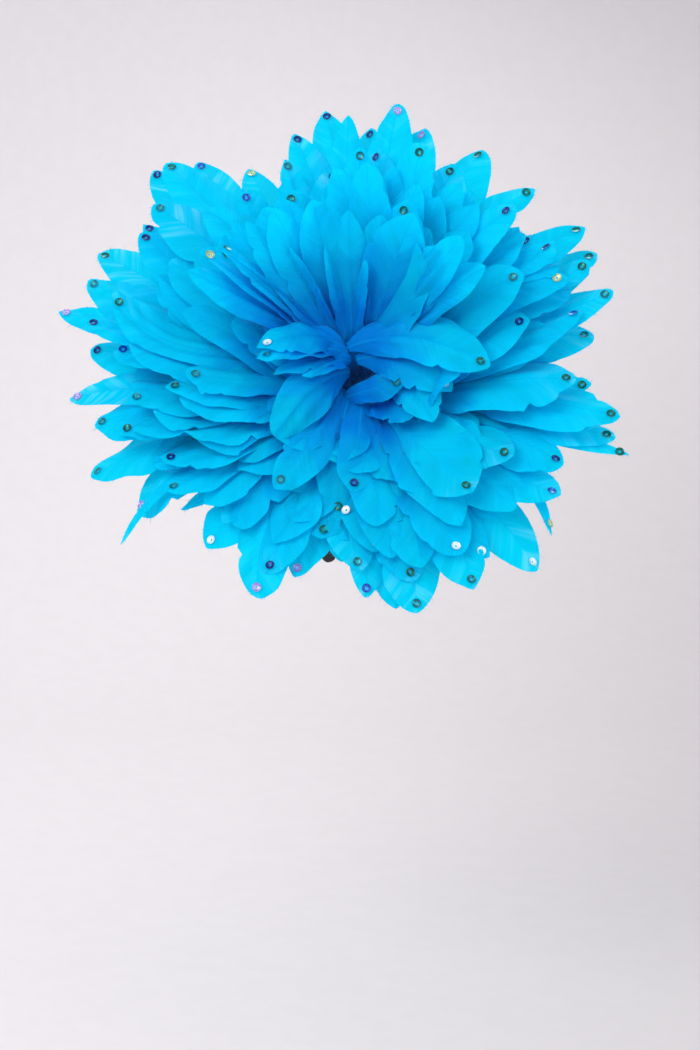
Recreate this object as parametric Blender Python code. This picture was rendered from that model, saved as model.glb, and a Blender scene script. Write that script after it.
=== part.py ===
"""Feather fascinator: a big turquoise feather flower on the left side of a black headband.

Metres, +Z up, +X to the back of the head, -Y to the wearer's left. The origin is the inner face of the
headband at its top. The feathers stand in ten rows on a felt base, the longest row at the back.
"""

import math

import bmesh
import bpy
from mathutils import Matrix, Vector

MM = 0.001
GAP = 0.3 * MM
SMOOTH_BELOW = math.radians(40)
BEVEL_ABOVE = math.radians(50)

# Headband: an elliptical crown, then arms that follow a longer ellipse inwards to rounded ends.
BAND_WIDTH = 14 * MM
BAND_THICKNESS = 2.4 * MM
BAND_HALF_SPAN = 72 * MM
BAND_CROWN_RISE = 90 * MM
BAND_ARM_LENGTH = 190 * MM
BAND_DROP = 178 * MM
BAND_LEAN = math.radians(10)
BAND_CROWN_STEPS = 20
BAND_ARM_STEPS = 4
BAND_EDGE = 0.5 * MM
# How far from the end each rounded section lies, and how much of the full width it has.
BAND_END_SECTIONS = [(0.0, 0.36), (0.12, 0.66), (0.40, 0.92), (1.0, 1.0)]

# The flower's axis, from the base outwards, and where the base meets the band.
AXIS_RISE = math.radians(32)
AXIS_TURN = math.radians(9)
BASE_SEAT_TURN = math.radians(38)
BASE_RADIUS = 65 * MM
BASE_THICKNESS = 3 * MM
BASE_BEVEL = 0.8 * MM
BASE_SIDES = 32

# Feathers: thin blades that curl outwards, with their edges turned back a little.
BLADE_THICKNESS = 0.9 * MM
BLADE_ROOT_WIDTH = 4.6 * MM
BLADE_CAMBER = 2.2 * MM
BLADE_FULL_WIDTH = 50 * MM
# Along a blade: share of its length, share of its width.
LONG_BLADE = [(0.22, 0.50), (0.48, 0.94), (0.74, 1.0), (0.92, 0.66), (1.0, 0.14)]
SHORT_BLADE = [(0.35, 0.66), (0.65, 1.0), (0.88, 0.74), (1.0, 0.18)]
LONG_BLADE_ROWS = 6
ROOM_SHARE = 0.46
ROW_STEP = 3.2 * MM
BOSS_SHARE = 0.72
ARCH_HEIGHT = 12 * MM
ARCH_SPAN = 225 * MM
# A row stands steep at the top, and its own weight pulls it down below. A higher power keeps the sides low.
CLOCK_POWER = 1.3

# The flower is laid out as seen from this far in front, a little from above.
LAYOUT_DISTANCE = 2.0
LAYOUT_RISE = math.radians(5)
LAYOUT_CENTRE_HEIGHT = 36 * MM
LAYOUT_NEAR = 0.45
LAYOUT_FAR = -0.35
LAYOUT_HALVINGS = 50

# Sequins: faceted cups with a hole, on the feathers of the outer rows.
SEQUIN_RADIUS = 4.0 * MM
SEQUIN_HOLE = 1.0 * MM
SEQUIN_DEPTH = 0.9 * MM
SEQUIN_THICKNESS = 0.4 * MM
SEQUIN_SIDES = 10
SEQUIN_FROM_TIP = 8.5 * MM
SEQUIN_ROWS = 3

# Rows from the back to the front: ring radius in mm, steepness at the top and at the bottom.
ROWS = [
    (60, 0.14, -0.03),
    (54, 0.22, -0.01),
    (48, 0.30, 0.01),
    (42, 0.40, 0.03),
    (36, 0.50, 0.05),
    (30, 0.62, 0.075),
    (25, 0.76, 0.10),
    (20, 0.92, 0.13),
    (16, 1.10, 0.17),
    (12, 1.60, 0.28),
]

# Each row's feathers: tip across in mm, tip up in mm, width in mm, sequin, sideways bow in mm.
FEATHERS = [
    [
        (-26, 245, 40, "navy", -4),
        (-95, 194, 38, "straw", 0),
        (-180, 193, 48, "navy", 2),
        (-229, 121, 56, "green", 0),
        (-237, 34, 52, "navy", -4),
        (-238, -79, 54, "teal", -8),
        (-156, -110, 20, None, 0),
        (-54, -171, 40, "lilac", -2),
        (37, -199, 34, None, 0),
        (164, -165, 46, "pearl", 8),
        (246, -60, 18, "green", 0),
        (212, 4, 44, "green", -5),
        (216, 120, 46, "green", 0),
        (114, 211, 50, "green", 4),
        (14, 231, 38, "navy", 0),
    ],
    [
        (-54, 226, 38, "navy", -13),
        (-140, 200, 48, "blue", 3),
        (-189, 145, 42, "navy", 0),
        (-239, 95, 52, "teal", 2),
        (-256, -11, 38, "lilac", -6),
        (-196, -115, 60, "lilac", -26),
        (-134, -144, 50, "pearl", 0),
        (-9, -157, 32, "pearl", 0),
        (56, -203, 48, "teal", 8),
        (177, -133, 18, "straw", 32),
        (234, -45, 36, "green", 0),
        (214, 46, 50, "teal", 10),
        (205, 143, 46, "green", 4),
        (62, 231, 50, "lilac", 0),
        (-6, 242, 34, None, 0),
    ],
    [
        (-62, 203, 34, "teal", 0),
        (-168, 200, 46, "green", 0),
        (-192, 138, 42, "navy", 0),
        (-265, 67, 40, "lilac", 5),
        (-234, -33, 62, "teal", -10),
        (-211, -141, 15, None, -20),
        (-89, -189, 48, "lilac", -21),
        (10, -189, 32, "blue", 0),
        (107, -181, 50, "teal", 4),
        (185, -96, 46, "blue", 0),
        (238, -26, 50, "green", 12),
        (231, 86, 36, "teal", -5),
        (160, 177, 45, "green", 14),
        (39, 252, 42, "lilac", 0),
    ],
    [
        (-99, 176, 44, "blue", 0),
        (-180, 163, 48, "teal", 0),
        (-242, 60, 40, "navy", 0),
        (-216, 32, 48, "blue", 0),
        (-212, -40, 44, "green", 0),
        (-171, -92, 36, "teal", 0),
        (-80, -168, 40, "navy", 0),
        (5, -165, 40, "teal", 0),
        (52, -175, 42, "green", 0),
        (187, -70, 46, "navy", 0),
        (204, 68, 44, "blue", 0),
        (210, 112, 40, "green", 0),
        (160, 135, 44, "navy", 0),
        (130, 158, 40, "blue", 0),
        (88, 199, 46, "green", 0),
        (21, 212, 44, "navy", 0),
        (-21, 195, 44, "navy", 0),
    ],
    [
        (-217, 84, 44, "green", 0),
        (-135, 160, 46, None, 0),
        (-60, 176, 44, "green", 0),
        (5, 215, 40, "teal", 0),
        (59, 218, 42, "green", 0),
        (108, 150, 40, "pearl", 0),
        (178, 130, 42, "navy", 0),
        (190, 98, 40, "straw", 0),
        (198, 8, 52, "green", 0),
        (121, -153, 44, "pearl", 0),
        (18, -148, 44, "pearl", 0),
        (-32, -135, 44, "green", 0),
        (-108, -125, 40, None, 0),
        (-174, -64, 44, "navy", 0),
        (-204, -9, 44, "teal", 0),
    ],
    [
        (-137, 123, 40, "straw", 0),
        (-75, 140, 44, None, 0),
        (-25, 165, 44, None, 0),
        (17, 198, 44, "green", 0),
        (75, 170, 40, None, 0),
        (143, 162, 38, "navy", 0),
        (156, 61, 46, "navy", 0),
        (143, -60, 50, "green", 0),
        (96, -150, 40, "pearl", 0),
        (-13, -119, 44, "pearl", 0),
        (-71, -88, 46, "teal", 0),
        (-154, -39, 44, "green", 0),
        (-170, 1, 44, "green", 0),
    ],
    [
        (-123, 126, 34, "green", 0),
        (-68, 150, 40, None, 0),
        (24, 172, 44, "green", 0),
        (102, 138, 44, None, 0),
        (150, 102, 56, "teal", 0),
        (106, -74, 52, "green", 0),
        (40, -120, 44, None, 0),
        (-10, -92, 50, "navy", 0),
        (-60, -60, 44, None, 0),
        (-142, -46, 44, "green", 0),
        (-152, 14, 60, "teal", 0),
        (-110, 60, 40, None, 0),
    ],
    [
        (49, 168, 50, "green", 0),
        (-28, 150, 44, None, 0),
        (-92, 100, 36, None, 0),
        (-100, -25, 44, None, 0),
        (-5, -65, 44, "blue", 0),
        (35, -84, 44, None, 0),
        (106, -94, 56, "green", 0),
        (100, 21, 56, "teal", 0),
        (76, 124, 50, None, 0),
    ],
    [
        (-79, 25, 46, "teal", 0),
        (-50, 160, 48, None, 0),
        (-3, 120, 26, None, 0),
        (47, 144, 56, None, 0),
        (69, 5, 44, "lilac", 0),
        (60, -26, 44, None, 0),
        (-72, -44, 52, None, 0),
    ],
    [
        (-66, 36, 44, "pearl", 0),
        (84, 34, 56, "green", 0),
        (38, 0, 38, "teal", 0),
        (-30, -22, 26, None, 0),
    ],
]

# Material: base colour, roughness, metallic value.
FINISHES = {
    "feather": ((0.0, 0.42, 0.80), 0.55, 0.0),
    "satin": ((0.010, 0.009, 0.012), 0.45, 0.0),
    "felt": ((0.008, 0.075, 0.19), 0.95, 0.0),
    "navy": ((0.01, 0.03, 0.20), 0.20, 0.5),
    "green": ((0.01, 0.22, 0.15), 0.20, 0.5),
    "teal": ((0.02, 0.28, 0.35), 0.20, 0.5),
    "blue": ((0.03, 0.16, 0.62), 0.20, 0.5),
    "lilac": ((0.50, 0.42, 0.80), 0.20, 0.5),
    "straw": ((0.70, 0.72, 0.35), 0.20, 0.5),
    "pearl": ((0.75, 0.85, 0.85), 0.15, 0.5),
}


def clear_scene():
    for old in list(bpy.data.objects):
        bpy.data.objects.remove(old, do_unlink=True)


def finish(name):
    """The material of this name, made once."""
    material = bpy.data.materials.get(name) or bpy.data.materials.new(name)
    material.use_nodes = True
    colour, roughness, metallic = FINISHES[name]
    shader = material.node_tree.nodes["Principled BSDF"]
    shader.inputs["Base Color"].default_value = (*colour, 1.0)
    shader.inputs["Roughness"].default_value = roughness
    shader.inputs["Metallic"].default_value = metallic
    return material


def make_object(name, mesh_builder, material):
    """An object from a bmesh whose faces are turned outwards."""
    bmesh.ops.recalc_face_normals(mesh_builder, faces=mesh_builder.faces)
    mesh = bpy.data.meshes.new(name)
    mesh_builder.to_mesh(mesh)
    mesh_builder.free()
    mesh.shade_smooth()
    mesh.set_sharp_from_angle(angle=SMOOTH_BELOW)
    made = bpy.data.objects.new(name, mesh)
    made.data.materials.append(finish(material))
    bpy.context.scene.collection.objects.link(made)
    return made


def add_bevel(made, width):
    bevel = made.modifiers.new("Bevel", "BEVEL")
    bevel.width = width
    bevel.segments = 1
    bevel.limit_method = "ANGLE"
    bevel.angle_limit = BEVEL_ABOVE
    return made


def skin_between(builder, first, second):
    """Joins two closed loops of the same number of vertices."""
    count = len(first)
    for i in range(count):
        j = (i + 1) % count
        builder.faces.new((first[i], first[j], second[j], second[i]))


def crown_point(turn):
    """Inner face of the band on the crown, at an ellipse angle from its side, with its outward normal."""
    place = Vector((0, BAND_HALF_SPAN * math.cos(turn), BAND_CROWN_RISE * (math.sin(turn) - 1)))
    normal = Vector((0, math.cos(turn) / BAND_HALF_SPAN, math.sin(turn) / BAND_CROWN_RISE))
    return place, normal.normalized()


def arm_point(turn):
    """Inner face of the band below the crown, on the longer ellipse."""
    down = -BAND_CROWN_RISE - BAND_ARM_LENGTH * math.sin(turn)
    place = Vector((0, BAND_HALF_SPAN * math.cos(turn), down))
    normal = Vector((0, math.cos(turn) / BAND_HALF_SPAN, -math.sin(turn) / BAND_ARM_LENGTH))
    return place, normal.normalized()


def half_band():
    """Sections from the crown's top to one end: inner place, outward normal, share of the width."""
    sections = []
    for step in range(BAND_CROWN_STEPS // 2):
        turn = math.pi / 2 * (1 - step / (BAND_CROWN_STEPS // 2))
        sections.append((*crown_point(turn), 1.0))
    end_turn = math.asin((BAND_DROP - BAND_CROWN_RISE) / BAND_ARM_LENGTH)
    round_turn = BAND_WIDTH / 2 / BAND_ARM_LENGTH
    for step in range(BAND_ARM_STEPS):
        turn = (end_turn - round_turn) * step / BAND_ARM_STEPS
        sections.append((*arm_point(turn), 1.0))
    for share, width in reversed(BAND_END_SECTIONS):
        sections.append((*arm_point(end_turn - round_turn * share), width))
    return sections


def mirrored(section):
    place, normal, width = section
    return Vector((0, -place.y, place.z)), Vector((0, -normal.y, normal.z)), width


def make_headband():
    """The band is swept in an upright plane and then leant, so that its ends come forward."""
    half = half_band()
    builder = bmesh.new()
    loops = []
    for place, normal, width in [mirrored(s) for s in reversed(half[1:])] + half:
        side = Vector((BAND_WIDTH / 2 * width, 0, 0))
        corners = (
            place - side,
            place + side,
            place + side + normal * BAND_THICKNESS,
            place - side + normal * BAND_THICKNESS,
        )
        loops.append([builder.verts.new(corner) for corner in corners])
    for first, second in zip(loops, loops[1:]):
        skin_between(builder, first, second)
    builder.faces.new(loops[0])
    builder.faces.new(loops[-1])
    builder.transform(Matrix.Rotation(BAND_LEAN, 4, "Y"))
    return add_bevel(make_object("headband", builder, "satin"), BAND_EDGE)


class Flower:
    """The flower's own frame: its base's back face is its origin plane and its axis points outwards."""

    def __init__(self, headband):
        self.axis = Vector(
            (
                -math.sin(AXIS_TURN) * math.cos(AXIS_RISE),
                -math.cos(AXIS_TURN) * math.cos(AXIS_RISE),
                math.sin(AXIS_RISE),
            )
        )
        self.up = (Vector((0, 0, 1)) - self.axis * self.axis.z).normalized()
        self.right = self.up.cross(self.axis)
        seat = crown_point(BASE_SEAT_TURN)[0]
        seat.y = -seat.y
        lift = max((corner.co - seat).dot(self.axis) for corner in headband.data.vertices)
        self.foot = seat + self.axis * (lift + GAP)
        self.centre = self.foot + self.axis * LAYOUT_CENTRE_HEIGHT
        self.sight = Vector((0, -math.cos(LAYOUT_RISE), math.sin(LAYOUT_RISE)))
        self.sight_up = Vector((0, math.sin(LAYOUT_RISE), math.cos(LAYOUT_RISE)))

    def point(self, reach, clock, height):
        return self.foot + self.outward(clock) * reach + self.axis * height

    def outward(self, clock):
        return self.right * math.cos(clock) + self.up * math.sin(clock)

    def measures(self, place):
        """Distance from the axis, clock angle and height of a place."""
        offset = place - self.foot
        across, along = offset.dot(self.right), offset.dot(self.up)
        return math.hypot(across, along), math.atan2(along, across), offset.dot(self.axis)


def row_height(index):
    return BASE_THICKNESS + 2 * GAP + ROW_STEP * (index + 0.5)


def shell_height(index, reach, clock):
    """Height of a row's blades above the back of the base."""
    ring, top, bottom = ROWS[index]
    run = reach - ring * MM
    slope = bottom + (top - bottom) * ((1 + math.sin(clock)) / 2) ** CLOCK_POWER
    share = run / ARCH_SPAN
    return row_height(index) + slope * run + 4 * ARCH_HEIGHT * share * (1 - share)


def shell_slope(index, reach, clock):
    rise = shell_height(index, reach + MM, clock) - shell_height(index, reach - MM, clock)
    return rise / (2 * MM)


def shell_climb(index, reach, clock):
    """How steeply a row's shell rises sideways, towards a larger clock angle."""
    turn = MM / reach
    rise = shell_height(index, reach, clock + turn) - shell_height(index, reach, clock - turn)
    return rise / (2 * MM)


def tip_of(flower, index, feather):
    """Reach and clock angle of a tip: where the line of sight through its laid-out place meets the row."""
    across, up = feather[0] * MM, feather[1] * MM
    eye = flower.centre + flower.sight * LAYOUT_DISTANCE
    aim = flower.centre + Vector((1, 0, 0)) * across + flower.sight_up * up
    ray = (eye - aim).normalized()
    near, far = LAYOUT_NEAR, LAYOUT_FAR
    for _ in range(LAYOUT_HALVINGS):
        middle = (near + far) / 2
        reach, clock, height = flower.measures(aim + ray * middle)
        if height > shell_height(index, reach, clock):
            near = middle
        else:
            far = middle
    return reach, clock


def blade_frame(flower, index, reach, clock):
    """Middle of a blade at this reach, its sideways direction and its inner normal, along the row's shell."""
    middle = flower.point(reach, clock, shell_height(index, reach, clock))
    level = flower.axis.cross(flower.outward(clock))
    slope, climb = shell_slope(index, reach, clock), shell_climb(index, reach, clock)
    side = (level + flower.axis * climb).normalized()
    normal = (flower.axis - flower.outward(clock) * slope - level * climb).normalized()
    return middle, side, normal


def blade_corners(middle, side, normal, right_half, left_half):
    """Six corners of a cross-section, three on the inner face and three on the outer."""
    skin = normal * (BLADE_THICKNESS / 2)
    edges = []
    for half in (-right_half, left_half):
        camber = BLADE_CAMBER * (2 * half / BLADE_FULL_WIDTH) ** 2
        edges.append(middle + side * half - normal * camber)
    right, left = edges
    return [right + skin, middle + skin, left + skin, left - skin, middle - skin, right - skin]


def ring_corners(flower, index, clock):
    """The section where a blade leaves its ring."""
    ring = ROWS[index][0] * MM
    turn = BLADE_ROOT_WIDTH / 2 / ring
    corners = []
    for level, turns in ((1, (-turn, 0, turn)), (-1, (turn, 0, -turn))):
        height = row_height(index) + level * BLADE_THICKNESS / 2
        corners += [flower.point(ring, clock + turned, height) for turned in turns]
    return corners


class Tip:
    """Where one feather of a row ends, with its half width, sequin and sideways bow."""

    def __init__(self, flower, index, feather):
        self.reach, self.clock = tip_of(flower, index, feather)
        self.ring = ROWS[index][0] * MM
        self.half_width = feather[2] * MM / 2
        self.sequin = feather[3]
        self.bow = feather[4] * MM

    def clock_at(self, reach):
        """Clock angle of the feather's middle line, which is bowed to one side between its ends."""
        share = min((reach - self.ring) / (self.reach - self.ring), 1)
        return self.clock + 4 * self.bow * share * (1 - share) / reach


def sorted_tips(flower, index):
    tips = [Tip(flower, index, feather) for feather in FEATHERS[index]]
    return sorted(tips, key=lambda tip: tip.clock)


def room_to(tip, neighbour, reach):
    """A blade's share of the sideways room to its neighbour."""
    turn = abs(tip.clock_at(reach) - neighbour.clock_at(reach)) % (2 * math.pi)
    return ROOM_SHARE * min(turn, 2 * math.pi - turn) * reach


def blade_sections(flower, index, tip, neighbours):
    """Cross-sections from the ring to the tip."""
    shape = LONG_BLADE if index < LONG_BLADE_ROWS else SHORT_BLADE
    sections = [ring_corners(flower, index, tip.clock)]
    for along, across in shape:
        here = tip.ring + (tip.reach - tip.ring) * along
        halves = [min(tip.half_width * across, room_to(tip, other, here)) for other in neighbours]
        frame = blade_frame(flower, index, here, tip.clock_at(here))
        sections.append(blade_corners(*frame, *halves))
    return sections


def add_blade(builder, sections, root):
    loop = root
    for corners in sections[1:]:
        following = [builder.verts.new(corner) for corner in corners]
        skin_between(builder, loop, following)
        loop = following
    builder.faces.new((loop[0], loop[1], loop[4], loop[5]))
    builder.faces.new((loop[1], loop[2], loop[3], loop[4]))


def add_boss(builder, flower, index, tips, roots):
    """The bound stem under a row's ring, which stands on the row below."""
    radius = ROWS[index][0] * MM * BOSS_SHARE
    top = row_height(index) - BLADE_THICKNESS / 2
    foot = row_height(index) - ROW_STEP + BLADE_THICKNESS / 2 + GAP
    if index == 0:
        foot = BASE_THICKNESS + GAP
    upper = [builder.verts.new(flower.point(radius, tip.clock, top)) for tip in tips]
    lower = [builder.verts.new(flower.point(radius, tip.clock, foot)) for tip in tips]
    skin_between(builder, upper, lower)
    builder.faces.new(lower)
    for i, root in enumerate(roots):
        j = (i + 1) % len(roots)
        builder.faces.new((root[5], root[4], upper[i]))
        builder.faces.new((root[4], root[3], upper[i]))
        builder.faces.new((root[3], roots[j][5], upper[j], upper[i]))


def make_row(flower, index):
    """One row of feathers, fused to a ring with a short bound stem."""
    builder = bmesh.new()
    tips = sorted_tips(flower, index)
    before, after = tips[-1:] + tips[:-1], tips[1:] + tips[:1]
    blades = [blade_sections(flower, index, *trio) for trio in zip(tips, zip(before, after))]
    roots = [[builder.verts.new(corner) for corner in sections[0]] for sections in blades]
    middle = builder.verts.new(flower.point(0, 0, row_height(index) + BLADE_THICKNESS / 2))
    for root, following, sections in zip(roots, roots[1:] + roots[:1], blades):
        builder.faces.new((middle, root[0], root[1]))
        builder.faces.new((middle, root[1], root[2]))
        builder.faces.new((middle, root[2], following[0]))
        builder.faces.new((root[2], following[0], following[5], root[3]))
        add_blade(builder, sections, root)
    add_boss(builder, flower, index, tips, roots)
    make_object(f"feather_row_{index + 1:02d}", builder, "feather")
    return list(zip(tips, blades))


def sequin_mesh_builder():
    """A cup with a hole: the rim is the widest and highest part."""
    profile = [
        (SEQUIN_RADIUS, SEQUIN_DEPTH),
        (SEQUIN_HOLE, SEQUIN_THICKNESS),
        (SEQUIN_HOLE, 0.0),
    ]
    builder = bmesh.new()
    loops = []
    for radius, height in profile:
        turns = [2 * math.pi * side / SEQUIN_SIDES for side in range(SEQUIN_SIDES)]
        ring = [(radius * math.cos(turn), radius * math.sin(turn), height) for turn in turns]
        loops.append([builder.verts.new(place) for place in ring])
    for first, second in zip(loops, loops[1:] + loops[:1]):
        skin_between(builder, first, second)
    return builder


def sequin_seat(sections):
    """Where a sequin lies on the ridge of a blade's last stretch, as a matrix."""
    before, tip = sections[-2][1], sections[-1][1]
    along = (tip - before).normalized()
    normal = along.cross(sections[-1][2] - sections[-1][0]).normalized()
    side = normal.cross(along)
    place = tip - along * SEQUIN_FROM_TIP + normal * GAP
    seat = Matrix((along, side, normal)).transposed().to_4x4()
    seat.translation = place
    return seat


def make_sequins(rows):
    count = 0
    for tips_and_blades in rows:
        for tip, sections in tips_and_blades:
            if tip.sequin is None:
                continue
            count += 1
            sequin = make_object(f"sequin_{count:02d}", sequin_mesh_builder(), tip.sequin)
            sequin.matrix_world = sequin_seat(sections)


def make_base(flower):
    """The felt disc between the band and the feathers."""
    builder = bmesh.new()
    bmesh.ops.create_cone(
        builder,
        cap_ends=True,
        segments=BASE_SIDES,
        radius1=BASE_RADIUS,
        radius2=BASE_RADIUS,
        depth=BASE_THICKNESS,
    )
    placed = Matrix((flower.right, flower.up, flower.axis)).transposed().to_4x4()
    placed.translation = flower.point(0, 0, BASE_THICKNESS / 2)
    builder.transform(placed)
    return add_bevel(make_object("base", builder, "felt"), BASE_BEVEL)


def main():
    clear_scene()
    flower = Flower(make_headband())
    make_base(flower)
    rows = [make_row(flower, index) for index in range(len(ROWS))]
    make_sequins(rows[:SEQUIN_ROWS])


main()
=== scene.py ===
# Feather fascinator: the looks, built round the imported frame.
import math

import bpy
import numpy as np
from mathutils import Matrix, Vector


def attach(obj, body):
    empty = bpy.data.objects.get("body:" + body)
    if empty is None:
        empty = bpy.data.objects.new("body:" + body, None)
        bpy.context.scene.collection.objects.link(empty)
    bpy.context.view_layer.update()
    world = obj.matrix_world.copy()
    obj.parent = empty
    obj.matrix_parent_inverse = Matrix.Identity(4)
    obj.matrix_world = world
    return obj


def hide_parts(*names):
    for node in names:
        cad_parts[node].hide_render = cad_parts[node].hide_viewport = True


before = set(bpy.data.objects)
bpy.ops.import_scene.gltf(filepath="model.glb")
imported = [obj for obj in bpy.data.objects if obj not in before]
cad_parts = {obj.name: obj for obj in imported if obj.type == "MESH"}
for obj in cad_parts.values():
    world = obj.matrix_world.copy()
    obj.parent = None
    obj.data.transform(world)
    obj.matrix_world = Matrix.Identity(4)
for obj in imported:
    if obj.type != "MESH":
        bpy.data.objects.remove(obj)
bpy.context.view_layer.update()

mm = 0.001

# The flower stands on its foot and opens along its axis, as in the solids.
flower = {
    "foot": (-0.0007017, -0.0611668, -0.0317877),
    "axis": (-0.132664, -0.8376072, 0.5299193),
    "centreHeight": 36 * mm,
    "sightRise": 5,  # degrees that the layout is seen from above
    "sightDistance": 2.0,
    "rowStep": 3.2 * mm,
    "firstRow": 3.6 * mm,
    "archHeight": 12 * mm,
    "archSpan": 225 * mm,
    "clockPower": 1.3,
}

# Rows from the back to the front: ring radius in mm, steepness at the top and at the bottom,
# tone from deep to pale (partly the dye, partly painted shade deeper in the front rows round the heart),
# fullness.
rows = [
    (60, 0.14, -0.03, 0.62, 1.14),
    (54, 0.22, -0.01, 0.60, 1.16),
    (48, 0.30, 0.01, 0.58, 1.18),
    (42, 0.40, 0.03, 0.56, 1.22),
    (36, 0.50, 0.05, 0.54, 1.26),
    (30, 0.62, 0.075, 0.52, 1.28),
    (25, 0.76, 0.10, 0.50, 1.28),
    (20, 0.92, 0.13, 0.47, 1.28),
    (16, 1.10, 0.17, 0.44, 1.25),
    (12, 1.60, 0.28, 0.40, 1.25),
]

# Each row's feathers: tip across in mm, tip up in mm, width in mm, sequin, sideways bow in mm.
# The last row, the heart, has tables of its own further down.
feathers = [
    [
        (-26, 245, 40, "navy", -4), (-95, 194, 38, "straw", 0), (-180, 193, 48, "navy", 2),
        (-229, 121, 56, "green", 0), (-237, 34, 52, "navy", -4), (-238, -79, 54, "teal", -8),
        (-156, -110, 20, None, 0), (-54, -171, 40, "lilac", -2), (37, -199, 34, None, 0),
        (164, -165, 46, "pearl", 8), (246, -60, 18, "green", 0), (212, 4, 44, "green", -5),
        (216, 120, 46, "green", 0), (114, 211, 50, "green", 4), (14, 231, 38, "navy", 0),
    ],
    [
        (-54, 226, 38, "navy", -13), (-140, 200, 48, "blue", 3), (-189, 145, 42, "navy", 0),
        (-239, 95, 52, "teal", 2), (-256, -11, 38, "lilac", -6), (-196, -115, 60, "lilac", -26),
        (-134, -144, 50, "pearl", 0), (-9, -157, 32, "pearl", 0), (56, -203, 48, "teal", 8),
        (177, -133, 18, "straw", 32), (234, -45, 36, "green", 0), (214, 46, 50, "teal", 10),
        (205, 143, 46, "green", 4), (62, 231, 50, "lilac", 0), (-6, 242, 34, None, 0),
    ],
    [
        (-62, 203, 34, "teal", 0), (-168, 200, 46, "green", 0), (-192, 138, 42, "navy", 0),
        (-265, 67, 40, "lilac", 5), (-234, -33, 62, "teal", -10), (-211, -141, 15, None, -20),
        (-89, -189, 48, "lilac", -21), (10, -189, 32, "blue", 0), (107, -181, 50, "teal", 4),
        (185, -96, 46, "blue", 0), (238, -26, 50, "green", 12), (231, 86, 36, "teal", -5),
        (160, 177, 45, "green", 14), (39, 252, 42, "lilac", 0),
    ],
    [
        (-99, 176, 44, "blue", 0), (-180, 163, 48, "teal", 0), (-242, 60, 40, "navy", 0),
        (-216, 32, 48, "blue", 0), (-212, -40, 44, "green", 0), (-171, -92, 36, "teal", 0),
        (-80, -168, 40, "navy", 0), (5, -165, 40, "teal", 0), (52, -175, 42, "green", 0),
        (187, -70, 46, "navy", 0), (204, 68, 44, "blue", 0), (210, 112, 40, "green", 0),
        (160, 135, 44, "navy", 0), (130, 158, 40, "blue", 0), (88, 199, 46, "green", 0),
        (21, 212, 44, "navy", 0), (-21, 195, 44, "navy", 0),
    ],
    [
        (-217, 84, 44, "green", 0), (-135, 160, 46, None, 0), (-60, 176, 44, "green", 0),
        (5, 215, 40, "teal", 0), (59, 218, 42, "green", 0), (108, 150, 40, "pearl", 0),
        (178, 130, 42, "navy", 0), (190, 98, 40, "straw", 0), (198, 8, 52, "green", 0),
        (121, -153, 44, "pearl", 0), (18, -148, 44, "pearl", 0), (-32, -135, 44, "green", 0),
        (-108, -125, 40, None, 0), (-174, -64, 44, "navy", 0), (-204, -9, 44, "teal", 0),
    ],
    [
        (-137, 123, 40, "straw", 0), (-75, 140, 44, None, 0), (-25, 165, 44, None, 0),
        (17, 198, 44, "green", 0), (75, 170, 40, None, 0), (143, 162, 38, "navy", 0),
        (156, 61, 46, "navy", 0), (143, -60, 50, "green", 0), (96, -150, 40, "pearl", 0),
        (-13, -119, 44, "pearl", 0), (-71, -88, 46, "teal", 0), (-154, -39, 44, "green", 0),
        (-170, 1, 44, "green", 0),
    ],
    [
        (-123, 126, 34, "green", 0), (-68, 150, 40, None, 0), (24, 172, 44, "green", 0),
        (102, 138, 44, None, 0), (150, 102, 56, "teal", 0), (106, -74, 52, "green", 0),
        (40, -120, 44, None, 0), (-10, -92, 50, "navy", 0), (-60, -60, 44, None, 0),
        (-142, -46, 44, "green", 0), (-152, 14, 60, "teal", 0), (-110, 60, 40, None, 0),
    ],
    [
        (49, 168, 50, "green", 0), (-28, 150, 44, None, 0), (-92, 100, 36, None, 0),
        (-100, -25, 44, None, 0), (-5, -65, 44, "blue", 0), (35, -84, 44, None, 0),
        (106, -94, 56, "green", 0), (100, 21, 56, "teal", 0), (76, 124, 50, None, 0),
    ],
    [
        (-79, 25, 46, "teal", 0), (-50, 160, 48, None, 0), (-3, 120, 26, None, 0),
        (47, 144, 56, None, 0), (69, 5, 44, "lilac", 0), (60, -26, 44, None, 0),
        (-72, -44, 52, None, 0),
    ],
]


def unit(v):
    return v / np.linalg.norm(v, axis=-1, keepdims=True)


foot = np.array(flower["foot"])
axis = unit(np.array(flower["axis"]))
up = unit(np.array([0, 0, 1.0]) - axis * axis[2])
right = np.cross(up, axis)
centre = foot + axis * flower["centreHeight"]
rise = math.radians(flower["sightRise"])
sight = np.array([0, -math.cos(rise), math.sin(rise)])
sightUp = np.array([0, math.sin(rise), math.cos(rise)])


def outwardAt(clock):
    clock = np.asarray(clock)[..., None]
    return right * np.cos(clock) + up * np.sin(clock)


def flowerPoint(reach, clock, height):
    reach, height = np.asarray(reach)[..., None], np.asarray(height)[..., None]
    return foot + outwardAt(clock) * reach + axis * height


def rowHeight(row):
    return flower["firstRow"] + flower["rowStep"] * (row + 0.5)


# Height of a row's feathers over the back of the base.
def rowShell(row, reach, clock):
    run = reach - rows[row][0] * mm
    top, bottom = rows[row][1:3]
    slope = bottom + (top - bottom) * ((1 + np.sin(clock)) / 2) ** flower["clockPower"]
    share = run / flower["archSpan"]
    return rowHeight(row) + slope * run + 4 * flower["archHeight"] * share * (1 - share)


def shellSlope(row, reach, clock):
    step = 1 * mm
    return (rowShell(row, reach + step, clock) - rowShell(row, reach - step, clock)) / (2 * step)


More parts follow.
